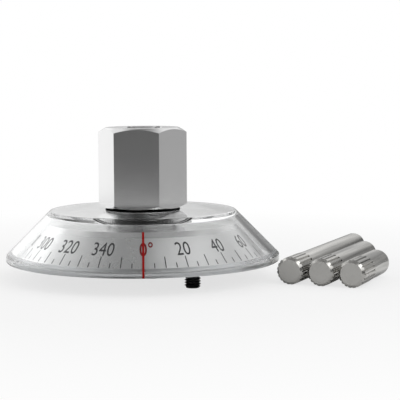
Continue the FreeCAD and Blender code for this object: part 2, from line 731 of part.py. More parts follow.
# Reaction rods: straight knurl at one end, tapped hole in the other
def make_rod(label, length, order):
    body = new_body(label)
    blank = turned(body, label + "_turning", [[
        ("0", "0"), ("knurl_radius", "0"), ("knurl_radius", "knurl_length"),
        ("rod_radius", "knurl_length"), ("rod_radius", length), ("0", length)]])
    bevel = dressed(body, "Chamfer", label + "_knurl_end", blank,
                    [on_base_ring("knurl_radius")], "knurl_bevel")
    dressed(body, "Chamfer", label + "_plain_end", bevel,
            [ring_edge("rod_radius", length)], "rod_bevel")
    sketch = new_sketch(body, "XY_Plane", label + "_groove_outline")
    add_outline(sketch, [("knurl_floor", "0"), ("knurl_out", "knurl_flank"),
                         ("knurl_out", "-knurl_flank")])
    groove = pocketed(body, label + "_groove", sketch, "knurl_length", up=True)
    patterned(body, label + "_knurl", [groove], KNURL_RIBS)
    sketch = new_sketch(body, "XY_Plane", label + "_bore_outline", length)
    add_circle(sketch, ("0", "0"), "rod_bore")
    pocketed(body, label + "_bore", sketch, "rod_bore_depth")
    body.Tip = body.Group[-1]
    angle = math.radians(size("rod_angle"))
    away = size("rod_place") + order * size("rod_spacing")
    place = Vector(away * math.sin(angle), -away * math.cos(angle), size("knurl_radius"))
    lie = Rotation(Vector(0, 0, 1), size("rod_angle")) * Rotation(Vector(0, 1, 0), 90)
    body.Placement = Placement(place, lie)


make_base_plate()
make_cover()
make_bush()
make_stud()
make_spindle()
make_dial()
make_dial_screws()
make_neck_seal()
washer("top_washer", "washer_bore", "flange_radius", "flange_top", "dial_under")
washer("low_washer", "washer_bore", "flange_radius", "low_washer_under", "hub_under")
make_wave_washer()
make_circlip()
make_detent()
for order, (label, length) in enumerate([
        ("long_rod", "long_length"), ("medium_rod", "medium_length"),
        ("short_rod", "short_length")]):
    make_rod(label, length, order)

doc.recompute()
for item in doc.Objects:
    if "Invalid" in item.State or "Error" in item.State:
        raise ValueError("%s failed: %s" % (item.Label, item.State))
for item in subparts:
    shape = item.Shape
    if shape.isNull() or not shape.isValid() or not shape.Solids:
        raise ValueError("%s has no valid solid" % item.Label)
    shape.exportStep("parts/%s.step" % item.Label)
    print("%-16s %d solids %10.2f mm3" % (item.Label, len(shape.Solids), shape.Volume))
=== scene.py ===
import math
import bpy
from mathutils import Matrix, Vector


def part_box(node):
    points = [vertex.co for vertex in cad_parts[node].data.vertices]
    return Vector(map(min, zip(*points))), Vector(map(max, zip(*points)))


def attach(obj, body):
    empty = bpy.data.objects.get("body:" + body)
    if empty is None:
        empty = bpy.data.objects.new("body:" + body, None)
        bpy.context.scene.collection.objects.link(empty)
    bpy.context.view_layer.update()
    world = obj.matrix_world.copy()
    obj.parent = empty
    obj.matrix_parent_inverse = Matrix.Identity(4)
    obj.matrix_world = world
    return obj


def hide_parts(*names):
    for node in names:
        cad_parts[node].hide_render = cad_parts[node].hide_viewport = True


bl_info = {
    "name": "Torque Angle Gauge",
    "version": (1, 0, 0),
    "blender": (4, 5, 0),
    "location": "3D View > Sidebar > Gauge",
    "description": "Torque angle gauge with clear cover, graduated dial, stud and reaction rods",
    "category": "Add Mesh",
}

import bpy
from bpy.props import (FloatProperty, FloatVectorProperty, IntProperty, PointerProperty)
from bpy.types import Operator, Panel, PropertyGroup
from mathutils import Matrix, Vector

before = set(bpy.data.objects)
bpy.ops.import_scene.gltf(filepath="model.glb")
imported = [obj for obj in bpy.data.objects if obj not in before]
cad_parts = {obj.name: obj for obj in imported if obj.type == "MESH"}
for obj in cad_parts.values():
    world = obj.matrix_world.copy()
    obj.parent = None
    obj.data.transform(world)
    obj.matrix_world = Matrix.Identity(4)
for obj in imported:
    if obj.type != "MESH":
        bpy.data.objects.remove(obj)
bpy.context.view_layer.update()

MM = 0.001
RIM_LOW, RIM_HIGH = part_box("cover")
DIAL_LOW, DIAL_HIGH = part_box("dial")
STUD_LOW, STUD_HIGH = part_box("rod_stud")

# Clearance that keeps a test of radius or height off the surface it is about.
TOLERANCE = 0.01 * MM

# The cone's radii against the CAD's: the clear cover magnifies what lies under it.
DRAWN_IN = 0.968

# Direction of the loose rods' axes, seen from above.
ROD_LIE = math.radians(65.0)

# Degrees between the long marks, from them to the short marks, and between the numbers.
LONG_STEP, SHORT_TURN, NUMERAL_STEP = 10, 5, 20

# Size of the built-in font that makes its figures one unit high.
FONT_SIZE = 1.42

# The thread's tooth: its width in pitches, its height in thread depths and its steps a turn.
TOOTH_WIDTH, TOOTH_HEIGHT, TOOTH_STEPS = 0.94, 1.15, 40
STUD_SEGMENTS = 64

BORE_ROUGHNESS = 0.25
CLEAR_ROUGHNESS = 0.012
ACRYLIC_IOR = 1.49

# Light of the studio round the object, in rows from the ground up. Each row runs once round
# from the left (-X) past the front, the right and the back. ROW_TOPS are the heights (sines)
# at which one row passes into the next, blended over ROW_BLEND to either side.
STUDIO_ROWS = (
    (0.5, 0.6, 0.17, 0.13, 0.04, 0.25, 0.45, 0.5, 0.0, 0.4, 1.6, 0.5),
    (0.0, 0.0, 0.0, 0.0, 0.0, 0.0, 0.2, 0.75, 0.0, 0.8, 1.3, 1.1),
    (1.45, 0.85, 0.0, 0.0, 1.15, 1.6, 1.35, 0.7, 0.9, 1.2, 1.25, 1.9),
    (0.7, 0.85, 0.05, 1.05, 2.7, 2.1, 1.0, 0.55, 1.05, 1.05, 1.0, 0.85),
    (0.4, 0.25, 0.4, 0.2),
)
ROW_TOPS = (0.07, 0.28, 0.56, 0.83)
ROW_BLEND = 0.06
WORLD_STRENGTH = 2.8

LAMP_PLACE = Vector((0.1, -0.35, 0.95))
LAMP_SIZE = 0.7
LIGHT_BOUNCES = 32

# Radii between which the floor's shadow fades out.
VEIL_START, VEIL_END = 0.1, 0.26


def length(name, value, about):
    """Property for a length in metres."""
    return FloatProperty(name=name, description=about, default=value, min=0.0,
                         unit="LENGTH", precision=5)


def amount(name, value, about, low=0.0, high=1.0):
    """Property for a plain number between two limits."""
    return FloatProperty(name=name, description=about, default=value, min=low, max=high)


def angle(name, degrees, about):
    """Property for an angle, given in degrees."""
    return FloatProperty(name=name, description=about, default=math.radians(degrees),
                         unit="ROTATION")


def colour(name, value, about):
    """Property for a colour."""
    return FloatVectorProperty(name=name, description=about, default=value, size=3,
                               min=0.0, max=1.0, subtype="COLOR")


class CoverSizes(PropertyGroup):
    """Sizes of the clear cover"""

    rim_radius: length("Rim Radius", RIM_HIGH.x - 0.02 * MM, "Outer radius, under the ink")
    rim_low: length("Rim Underside", RIM_LOW.z, "Lower edge of the rim")
    rim_top: length("Rim Band Top", 9.4 * MM, "Top of the upright band")
    recess_radius: length("Recess Radius", 50.6 * MM, "Recess that takes the base plate")
    recess_top: length("Recess Top", 8.4 * MM, "Ledge of the recess")
    inner_rim: length("Inner Rim Radius", 49.4 * MM, "Inside of the upright band")
    deck_radius: length("Deck Radius", 35.98 * MM, "Flat top of the cover")
    deck_top: length("Deck Top", RIM_HIGH.z, "Height of the flat top")
    deck_under: length("Deck Underside", 23.5 * MM, "Underside of the flat top")
    inner_deck: length("Inner Deck Radius", 35.47 * MM, "Inside of the cone under the deck")
    neck_radius: length("Neck Bore", 13.58 * MM, "Bore round the black seal")
    neck_round: length("Bore Rounding", 0.15 * MM, "Rounding of the bore's upper edge")
    deck_round: length("Deck Edge Rounding", 0.9 * MM, "Rounding of the deck's edge")
    rim_round: length("Rim Edge Rounding", 0.35 * MM, "Rounding of the rim's edges")
    inner_round: length("Inner Rounding", 0.8 * MM, "Rounding inside, under the deck's edge")
    line_width: length("Red Line Width", 0.8 * MM, "Width of the red reading line")
    line_rise: length("Red Line Rise", 3.2 * MM, "Line's upper end above the dial's bevel")
    segments: IntProperty(name="Segments", description="Steps round the cover",
                          default=256, min=48)


class DialSizes(PropertyGroup):
    """Sizes of the graduated dial"""

    hub_radius: length("Hub Radius", 20 * MM, "Within it the dial keeps the CAD's radii")
    drawn_in: amount("Drawn In", DRAWN_IN, "Cone's radii against the CAD's, so that the marks "
                     "stand where the clear cover shows them", 0.9, 1.0)
    foot_radius: length("Foot Radius", DIAL_HIGH.x * DRAWN_IN, "Lower edge of the cone")
    foot: length("Foot Height", 8.45 * MM, "Lower edge's height")
    bevel_radius: length("Bevel Radius", 39.3 * DRAWN_IN * MM,
                         "Where the polished bevel begins")
    bevel_low: length("Bevel Height", 18.9 * MM, "Height where the polished bevel begins")
    long_mark: length("Long Mark", 4.8 * MM, "Marks at every ten degrees")
    short_mark: length("Short Mark", 2.1 * MM, "Marks at every five degrees")
    mark_width: length("Mark Width", 0.34 * MM, "Width of the marks")
    mark_inset: length("Mark Inset", 1.0 * MM, "Marks' lower ends above the foot")
    numeral_height: length("Numeral Height", 5.8 * MM, "Height of the numbers")
    numeral_centre: length("Numeral Centre", 9.1 * MM, "Numbers' middle above the foot, "
                           "along the slope")
    numeral_squeeze: amount("Numeral Width", 0.7, "Width of the numbers against the font's",
                            0.3, 1.5)
    numeral_bold: amount("Numeral Boldness", 0.001, "Numbers' strokes beyond the font's",
                         0.0, 0.1)
    zero_bold: amount("Zero Boldness", 0.014, "Red zero's strokes beyond the font's", 0.0, 0.1)
    ink: length("Ink Thickness", 0.03 * MM, "Thickness of the printed ink")


class StudSizes(PropertyGroup):
    """Sizes of the threaded stud"""

    radius: length("Radius", 3.0 * MM, "Outside of the thread")
    pitch: length("Pitch", 1.0 * MM, "Pitch of the thread")
    depth: length("Thread Depth", 0.6 * MM, "Depth of the thread")
    crest: length("Thread Crest", 0.12 * MM, "Flat on the thread's crest")
    bevel: length("End Bevel", 0.7 * MM, "Bevel at both ends")
    neck_radius: length("Neck Radius", 2.6 * MM, "Groove above the thread")
    neck_low: length("Neck Height", 6.4 * MM, "Where the thread ends")
    root_low: length("Root Height", 7.0 * MM, "Where the thicker root begins")
    key: length("Key Width", 3.0 * MM, "Hexagon socket across flats")
    key_depth: length("Key Depth", 2.8 * MM, "Depth of the hexagon socket")


class FinishColours(PropertyGroup):
    """Colours of the gauge's finishes"""

    plated: colour("Plated Steel", (0.72, 0.72, 0.72), "Satin plated spindle")
    dial: colour("Dial", (0.80, 0.80, 0.80), "Satin turned aluminium of the dial")
    alloy: colour("Base Plate", (0.70, 0.71, 0.72), "Turned aluminium of the base plate")
    clear: colour("Cover", (0.98, 0.985, 0.985), "Clear cover")
    bronze: colour("Bush", (0.60, 0.42, 0.22), "Turned bronze")
    black: colour("Stud", (0.022, 0.022, 0.023), "Black oxide")
    rubber: colour("Neck Seal", (0.007, 0.007, 0.007), "Matt black rubber")
    spring: colour("Spring Steel", (0.32, 0.32, 0.33), "Washers, ring and spring")
    rod: colour("Rods", (0.56, 0.552, 0.53), "Drawn steel bar")
    ink: colour("Ink", (0.035, 0.035, 0.04), "Marks and numbers")
    red: colour("Red", (0.3, 0.004, 0.003), "Reading line and zero")


class StageSettings(PropertyGroup):
    """Floor, lamp and camera"""

    distance: length("Distance", 541 * MM, "Camera in front of the spindle's axis")
    eye: length("Eye Height", 80 * MM, "Camera above the floor")
    focal: FloatProperty(name="Focal Length", description="Lens in millimetres",
                         default=125.55, min=10.0)
    yaw: angle("Yaw", 2.36, "Camera turned to the right")
    pitch: angle("Pitch", 5.29, "Camera turned down")
    roll: angle("Roll", -0.29, "Camera leaned to its side")
    floor_grey: amount("Floor", 0.9, "Floor's grey")
    floor_radius: length("Floor Radius", 0.3, "Radius of the floor")
    shadow: amount("Shadow", 0.28, "How much of the object's shadow the camera sees")
    lamp_power: FloatProperty(name="Lamp Power", description="Watts of the soft top lamp",
                              default=0.5, min=0.0)


class GaugeSettings(PropertyGroup):
    """All settings of the torque angle gauge"""

    cover: PointerProperty(type=CoverSizes, name="Cover", description="Clear cover")
    dial: PointerProperty(type=DialSizes, name="Dial", description="Graduated dial")
    stud: PointerProperty(type=StudSizes, name="Stud", description="Threaded stud")
    colours: PointerProperty(type=FinishColours, name="Colours", description="Finishes")
    stage: PointerProperty(type=StageSettings, name="Stage", description="Stage")


# Shader nodes and finishes


def new_group(name, inputs, outputs):
    """Empty shader node group with its sockets and its two end nodes."""
    group = bpy.data.node_groups.new(name, "ShaderNodeTree")
    for label, kind, value in inputs:
        socket = group.interface.new_socket(label, in_out="INPUT", socket_type=kind)
        socket.default_value = value
    for label, kind in outputs:
        group.interface.new_socket(label, in_out="OUTPUT", socket_type=kind)
    return group, group.nodes.new("NodeGroupInput"), group.nodes.new("NodeGroupOutput")


def add_node(tree, kind, links=None, values=None, **settings):
    """Node with its settings, socket values and the sockets that feed it."""
    node = tree.nodes.new(kind)
    for label, value in settings.items():
        setattr(node, label, value)
    for key, value in (values or {}).items():
        node.inputs[key].default_value = value
    for key, source in (links or {}).items():
        tree.links.new(source, node.inputs[key])
    return node


def maths(tree, operation, first, second=None):
    """Result of a Math node; the operands are sockets or numbers."""
    node = tree.nodes.new("ShaderNodeMath")
    node.operation = operation
    for index, operand in enumerate((first, second)):
        if isinstance(operand, bpy.types.NodeSocket):
            tree.links.new(operand, node.inputs[index])
        elif operand is not None:
            node.inputs[index].default_value = operand
    return node.outputs[0]


def spread(tree, source, from_low, from_high, to_low, to_high):
    """Map Range node's result."""
    node = add_node(tree, "ShaderNodeMapRange", {"Value": source}, {
        "From Min": from_low, "From Max": from_high, "To Min": to_low, "To Max": to_high})
    return node.outputs["Result"]


def mixed(tree, kind, factor, first, second):
    """Mix node's result; first and second are sockets or plain values."""
    node = add_node(tree, "ShaderNodeMix", {"Factor": factor}, data_type=kind)
    for label, source in (("A", first), ("B", second)):
        if isinstance(source, bpy.types.NodeSocket):
            tree.links.new(source, node.inputs[label])
        else:
            node.inputs[label].default_value = source
    return node.outputs["Result"]


def ring_ramp(tree, turn, levels):
    """Colour ramp that runs once round through evenly spaced light levels."""
    node = add_node(tree, "ShaderNodeValToRGB", {"Fac": turn})
    elements = node.color_ramp.elements
    while len(elements) > 1:
        elements.remove(elements[-1])
    for index, light in enumerate(levels + levels[:1]):
        position = index / len(levels)
        element = elements[0] if index == 0 else elements.new(position)
        element.position = position
        element.color = (*[light / WORLD_STRENGTH] * 3, 1.0)
    return node.outputs["Color"]


def object_parts(tree):
    """X, Y and Z of the shaded point in the object's own space, by name."""
    place = add_node(tree, "ShaderNodeTexCoord")
    return add_node(tree, "ShaderNodeSeparateXYZ", {"Vector": place.outputs["Object"]}).outputs


def axis_distance(tree, parts):
    """Distance of the shaded point from the spindle's axis."""
    level = add_node(tree, "ShaderNodeCombineXYZ", {"X": parts["X"], "Y": parts["Y"]})
    reach = add_node(tree, "ShaderNodeVectorMath", {"Vector": level.outputs[0]},
                     operation="LENGTH")
    return reach.outputs["Value"]


def build_rings_group():
    """Fine rings round the spindle's axis, as a lathe leaves them."""
    group, start, end = new_group(
        "Turned Rings",
        [("Fineness", "NodeSocketFloat", 900.0), ("Unevenness", "NodeSocketFloat", 0.5)],
        [("Rings", "NodeSocketFloat"), ("Broad Rings", "NodeSocketFloat")])
    parts = object_parts(group)
    ring = add_node(group, "ShaderNodeCombineXYZ", {
        "X": axis_distance(group, parts), "Y": parts["Z"]})
    fine = add_node(group, "ShaderNodeTexNoise", {
        "Vector": ring.outputs[0], "Scale": start.outputs["Fineness"],
        "Roughness": start.outputs["Unevenness"]}, {"Detail": 3.0})
    broad_scale = maths(group, "MULTIPLY", start.outputs["Fineness"], 0.16)
    broad = add_node(group, "ShaderNodeTexNoise", {
        "Vector": ring.outputs[0], "Scale": broad_scale}, {"Detail": 2.0})
    group.links.new(fine.outputs["Fac"], end.inputs["Rings"])
    group.links.new(broad.outputs["Fac"], end.inputs["Broad Rings"])
    return group


def build_handling_group():
    """Soft smears and small specks that handling leaves on metal."""
    group, start, end = new_group(
        "Handling Marks",
        [("Smear Size", "NodeSocketFloat", 60.0), ("Speck Size", "NodeSocketFloat", 1400.0)],
        [("Smears", "NodeSocketFloat"), ("Specks", "NodeSocketFloat")])
    place = add_node(group, "ShaderNodeTexCoord")
    smears = add_node(group, "ShaderNodeTexNoise", {
        "Vector": place.outputs["Object"], "Scale": start.outputs["Smear Size"]},
        {"Detail": 4.0, "Roughness": 0.55})
    specks = add_node(group, "ShaderNodeTexNoise", {
        "Vector": place.outputs["Object"], "Scale": start.outputs["Speck Size"]},
        {"Detail": 2.0, "Roughness": 0.6})
    group.links.new(smears.outputs["Fac"], end.inputs["Smears"])
    group.links.new(specks.outputs["Fac"], end.inputs["Specks"])
    return group


def build_streaks_group():
    """Long streaks along one direction, as drawing leaves them on bar."""
    group, start, end = new_group(
        "Drawn Streaks",
        [("Turn", "NodeSocketVector", (0.0, 0.0, 0.0)), ("Fineness", "NodeSocketFloat", 900.0),
         ("Stretch", "NodeSocketFloat", 0.02)],
        [("Streaks", "NodeSocketFloat"), ("Bands", "NodeSocketFloat")])
    place = add_node(group, "ShaderNodeTexCoord")
    turned = add_node(group, "ShaderNodeMapping", {
        "Vector": place.outputs["Object"], "Rotation": start.outputs["Turn"]},
        vector_type="POINT")
    parts = add_node(group, "ShaderNodeSeparateXYZ", {"Vector": turned.outputs[0]})
    drawn = add_node(group, "ShaderNodeCombineXYZ", {
        "X": maths(group, "MULTIPLY", parts.outputs["X"], start.outputs["Stretch"]),
        "Y": parts.outputs["Y"], "Z": parts.outputs["Z"]})
    streaks = add_node(group, "ShaderNodeTexNoise", {
        "Vector": drawn.outputs[0], "Scale": start.outputs["Fineness"]},
        {"Detail": 3.0, "Roughness": 0.6})
    bands = add_node(group, "ShaderNodeTexNoise", {
        "Vector": drawn.outputs[0],
        "Scale": maths(group, "MULTIPLY", start.outputs["Fineness"], 0.3)},
        {"Detail": 2.0, "Roughness": 0.5})
    group.links.new(streaks.outputs["Fac"], end.inputs["Streaks"])
    group.links.new(bands.outputs["Fac"], end.inputs["Bands"])
    return group


GROUP_BUILDERS = {
    "Turned Rings": build_rings_group,
    "Handling Marks": build_handling_group,
    "Drawn Streaks": build_streaks_group,
}


def effect(tree, name, **values):
    """One of the shared effects, placed in a material with its own values."""
    node = tree.nodes.new("ShaderNodeGroup")
    node.node_tree = bpy.data.node_groups.get(name) or GROUP_BUILDERS[name]()
    for label, value in values.items():
        node.inputs[label.replace("_", " ")].default_value = value
    return node.outputs


def new_finish(name, **values):
    """Material with a Principled BSDF that has these values; also its tree and shader."""
    finish = bpy.data.materials.new(name)
    finish.use_nodes = True
    shader = finish.node_tree.nodes["Principled BSDF"]
    for label, value in values.items():
        shader.inputs[label.replace("_", " ")].default_value = value
    return finish, finish.node_tree, shader


def shaded(tree, shader, tone, mask, darker, lighter):
    """Base colour that varies with a mask between two shades of a colour."""
    low = [min(1.0, part * darker) for part in tone] + [1.0]
    high = [min(1.0, part * lighter) for part in tone] + [1.0]
    tree.links.new(mixed(tree, "RGBA", mask, low, high), shader.inputs["Base Color"])


def bumped(tree, shader, height, strength, distance):
    """Fine relief of the surface."""
    bump = add_node(tree, "ShaderNodeBump", {"Height": height},
                    {"Strength": strength, "Distance": distance})
    tree.links.new(bump.outputs["Normal"], shader.inputs["Normal"])


def varied(tree, noise, low, high):
    """Noise, which mostly lies between 0.3 and 0.7, spread from low to high."""
    return spread(tree, noise, 0.3, 0.7, low, high)


def roughened(tree, shader, noise, low, high):
    """Roughness that varies with noise."""
    tree.links.new(varied(tree, noise, low, high), shader.inputs["Roughness"])


def plated_finish(tone):
    """Satin plated steel of the spindle."""
    finish, tree, shader = new_finish("satin_plated_steel", Metallic=1.0)
    marks = effect(tree, "Handling Marks", Smear_Size=55.0, Speck_Size=2600.0)
    shaded(tree, shader, tone, marks["Smears"], 0.94, 1.04)
    roughened(tree, shader, marks["Smears"], 0.15, 0.19)
    bumped(tree, shader, marks["Specks"], 0.02, 0.00002)
    return finish


def dial_finish(tone, bevel_low):
    """Satin turned aluminium, polished above the height where the bevel begins."""
    finish, tree, shader = new_finish("satin_dial_aluminium", Metallic=1.0, Anisotropic=0.8,
                                      Anisotropic_Rotation=0.25)
    rings = effect(tree, "Turned Rings", Fineness=1500.0, Unevenness=0.6)
    marks = effect(tree, "Handling Marks", Smear_Size=45.0, Speck_Size=2400.0)
    polished = maths(tree, "GREATER_THAN", object_parts(tree)["Z"], bevel_low)
    shaded(tree, shader, tone, rings["Broad Rings"], 0.93, 1.04)
    satin = varied(tree, marks["Smears"], 0.26, 0.3)
    tree.links.new(mixed(tree, "FLOAT", polished, satin, 0.16), shader.inputs["Roughness"])
    bumped(tree, shader, rings["Rings"], 0.05, 0.00003)
    return finish


def turned_finish(name, tone, rough_low, rough_high):
    """Turned metal with the lathe's rings."""
    finish, tree, shader = new_finish(name, Metallic=1.0, Anisotropic=0.4,
                                      Anisotropic_Rotation=0.25)
    rings = effect(tree, "Turned Rings", Fineness=1100.0, Unevenness=0.5)
    marks = effect(tree, "Handling Marks", Smear_Size=50.0, Speck_Size=2000.0)
    shaded(tree, shader, tone, rings["Broad Rings"], 0.86, 1.06)
    roughened(tree, shader, marks["Smears"], rough_low, rough_high)
    bumped(tree, shader, rings["Rings"], 0.25, 0.0001)
    return finish


def plain_metal_finish(name, tone, rough_low, rough_high, metallic=1.0, speck=0.12):
    """Metal without a direction, with fine specks."""
    finish, tree, shader = new_finish(name, Metallic=metallic)
    marks = effect(tree, "Handling Marks", Smear_Size=120.0, Speck_Size=2200.0)
    shaded(tree, shader, tone, marks["Smears"], 0.82, 1.15)
    roughened(tree, shader, marks["Specks"], rough_low, rough_high)
    bumped(tree, shader, marks["Specks"], speck, 0.0001)
    return finish


def rod_finish(tone):
    """Drawn bar: long streaks on the rods' sides and plain end faces."""
    finish, tree, shader = new_finish("drawn_bar_steel", Metallic=1.0)
    streaks = effect(tree, "Drawn Streaks", Turn=(0.0, 0.0, -ROD_LIE), Fineness=1100.0,
                     Stretch=0.03)
    marks = effect(tree, "Handling Marks", Smear_Size=90.0, Speck_Size=2400.0)
    place = add_node(tree, "ShaderNodeTexCoord")
    facing = add_node(tree, "ShaderNodeVectorMath", {0: place.outputs["Normal"]},
                      {1: (math.cos(ROD_LIE), math.sin(ROD_LIE), 0.0)},
                      operation="DOT_PRODUCT")
    side = maths(tree, "LESS_THAN", maths(tree, "ABSOLUTE", facing.outputs["Value"]), 0.6)
    bands = spread(tree, streaks["Bands"], 0.35, 0.65, 0.0, 1.0)
    shaded(tree, shader, tone, mixed(tree, "FLOAT", side, 0.45, bands), 0.5, 1.4)
    roughened(tree, shader, marks["Smears"], 0.2, 0.28)
    bumped(tree, shader, maths(tree, "MULTIPLY", streaks["Streaks"], side), 0.4, 0.0001)
    return finish


def rubber_finish(tone):
    """Matt rubber of the neck's seal."""
    finish, tree, shader = new_finish("matt_black_rubber", Specular_IOR_Level=0.08)
    marks = effect(tree, "Handling Marks", Smear_Size=160.0, Speck_Size=3000.0)
    shaded(tree, shader, tone, marks["Smears"], 0.8, 1.6)
    roughened(tree, shader, marks["Specks"], 0.6, 0.8)
    bumped(tree, shader, marks["Specks"], 0.1, 0.00005)
    return finish


def clear_finish(tone, bore):
    """Polished acrylic whose bore keeps the dull surface that the drill left."""
    finish, tree, shader = new_finish("clear_acrylic", Transmission_Weight=1.0,
                                      IOR=ACRYLIC_IOR, Base_Color=(*tone, 1.0))
    marks = effect(tree, "Handling Marks", Smear_Size=70.0, Speck_Size=1800.0)
    drilled = maths(tree, "LESS_THAN", axis_distance(tree, object_parts(tree)),
                    bore + 5 * TOLERANCE)
    polish = varied(tree, marks["Smears"], 0.0, CLEAR_ROUGHNESS)
    tree.links.new(mixed(tree, "FLOAT", drilled, polish, BORE_ROUGHNESS),
                   shader.inputs["Roughness"])
    return finish


def ink_finish(name, tone):
    """Printed ink with a faint grain."""
    finish, tree, shader = new_finish(name, Specular_IOR_Level=0.12)
    marks = effect(tree, "Handling Marks", Smear_Size=220.0, Speck_Size=3200.0)
    shaded(tree, shader, tone, marks["Specks"], 0.8, 1.3)
    roughened(tree, shader, marks["Smears"], 0.4, 0.55)
    return finish


# Modelling helpers


def start_fresh():
    """Object mode with nothing selected."""
    if bpy.context.object and bpy.context.object.mode != "OBJECT":
        bpy.ops.object.mode_set(mode="OBJECT")
    bpy.ops.object.select_all(action="DESELECT")


def choose(*pieces):
    """Object mode with only these pieces selected and the first one active."""
    start_fresh()
    for piece in pieces:
        piece.select_set(True)
    bpy.context.view_layer.objects.active = pieces[0]


def edit_all():
    """Edit mode with all of the active piece selected."""
    bpy.ops.object.mode_set(mode="EDIT")
    bpy.ops.mesh.select_all(action="SELECT")


def tidy_mesh():
    """Merge the active piece's doubles and turn its faces outwards; ends in object mode."""
    edit_all()
    bpy.ops.mesh.remove_doubles(threshold=1e-7)
    bpy.ops.mesh.normals_make_consistent(inside=False)
    bpy.ops.object.mode_set(mode="OBJECT")


def settle(piece):
    """Put the piece's place, turn and scale into its mesh."""
    choose(piece)
    bpy.ops.object.transform_apply(location=True, rotation=True, scale=True)
    return piece


def apply_modifier(piece, kind, **settings):
    """Add a modifier with its settings and apply it."""
    modifier = piece.modifiers.new(kind.title(), kind)
    for label, value in settings.items():
        setattr(modifier, label, value)
    choose(piece)
    bpy.ops.object.modifier_apply(modifier=modifier.name)


def joined(pieces):
    """The pieces as one object, which is the first of them."""
    choose(*pieces)
    if len(pieces) > 1:
        bpy.ops.object.join()
    return pieces[0]


def cut_with(piece, cutter, operation="DIFFERENCE"):
    """Boolean with a cutter, which is then removed."""
    apply_modifier(piece, "BOOLEAN", operation=operation, object=cutter, solver="EXACT")
    bpy.data.objects.remove(cutter)


def finish_piece(piece, name, finish, smooth=30.0):
    """Name and material; smooth shading across edges below an angle in degrees."""
    piece.name = name
    piece.data.name = name
    piece.data.materials.clear()
    piece.data.materials.append(finish)
    choose(piece)
    bpy.ops.object.shade_smooth_by_angle(angle=math.radians(smooth))
    apply_modifier(piece, "WEIGHTED_NORMAL", keep_sharp=True, weight=100)


def rounded(points, rounds, steps=5):
    """Profile with some corners replaced by arcs: rounds is {index: radius}."""
    result = []
    count = len(points)
    for index, (x, z) in enumerate(points):
        if index not in rounds:
            result.append((x, z))
            continue
        corner = Vector((x, z))
        before = (Vector(points[index - 1]) - corner).normalized()
        after = (Vector(points[(index + 1) % count]) - corner).normalized()
        half = before.angle(after) / 2
        run = rounds[index] / math.tan(half)
        middle = corner + (before + after).normalized() * rounds[index] / math.sin(half)
        first = corner + before * run - middle
        last = corner + after * run - middle
        for step in range(steps + 1):
            arm = first.slerp(last, step / steps).normalized()
            point = middle + arm * rounds[index]
            result.append((point.x, point.y))
    return result


def turn_profile(profile, segments, solid=False):
    """Extrude and scale a circle along a profile of radii and heights, as on a lathe.

    A solid profile runs from one flat end to the other, and the ends are closed.
    """
    radius, height = profile[0]
    start_fresh()
    bpy.ops.mesh.primitive_circle_add(vertices=segments, radius=radius,
                                      location=(0.0, 0.0, height))
    piece = bpy.context.object
    edit_all()
    for wide, high in profile[1:] + ([] if solid else profile[:1]):
        bpy.ops.mesh.extrude_edges_move(
            TRANSFORM_OT_translate={"value": (0.0, 0.0, high - height)})
        bpy.ops.transform.resize(value=(wide / radius, wide / radius, 1.0),
                                 center_override=(0.0, 0.0, high))
        radius, height = wide, high
    if solid:
        bpy.ops.mesh.select_all(action="SELECT")
        bpy.ops.mesh.fill_holes(sides=0)
    tidy_mesh()
    return settle(piece)


def pick(piece, test):
    """Edit mode with the vertices selected whose place passes the test."""
    edit_all()
    bpy.ops.mesh.select_all(action="DESELECT")
    bpy.ops.object.mode_set(mode="OBJECT")
    for vertex in piece.data.vertices:
        vertex.select = test(vertex.co)
    bpy.ops.object.mode_set(mode="EDIT")


def worked_copy(node):
    """Merged copy of a CAD part, settled at the origin."""
    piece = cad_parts[node].copy()
    piece.data = piece.data.copy()
    bpy.context.scene.collection.objects.link(piece)
    piece.parent = None
    piece.matrix_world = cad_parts[node].matrix_world
    settle(piece)
    tidy_mesh()
    return piece


def cone_rise(sizes):
    """Slope of the dial's graduated cone."""
    return math.atan2(sizes.bevel_low - sizes.foot, sizes.foot_radius - sizes.bevel_radius)


# Operators, one for each piece or group of pieces


class ClearCover(Operator):
    """Turn the clear conical cover with its flat deck and upright rim"""

    bl_idname = "torque_gauge.clear_cover"
    bl_label = "Clear Cover"
    bl_options = {"REGISTER", "UNDO"}

    def execute(self, context):
        sizes = context.scene.torque_gauge.cover
        colours = context.scene.torque_gauge.colours
        profile = rounded([
            (sizes.neck_radius, sizes.deck_top), (sizes.deck_radius, sizes.deck_top),
            (sizes.rim_radius, sizes.rim_top), (sizes.rim_radius, sizes.rim_low),
            (sizes.recess_radius, sizes.rim_low), (sizes.recess_radius, sizes.recess_top),
            (sizes.inner_rim, sizes.recess_top), (sizes.inner_rim, sizes.rim_top),
            (sizes.inner_deck, sizes.deck_under), (sizes.neck_radius, sizes.deck_under),
        ], {0: sizes.neck_round, 1: sizes.deck_round, 2: sizes.rim_round,
            3: sizes.rim_round, 8: sizes.inner_round})
        cover = turn_profile(profile, sizes.segments)
        finish_piece(cover, "clear_cover", clear_finish(colours.clear, sizes.neck_radius))
        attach(cover, "base")
        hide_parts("cover")
        return {"FINISHED"}


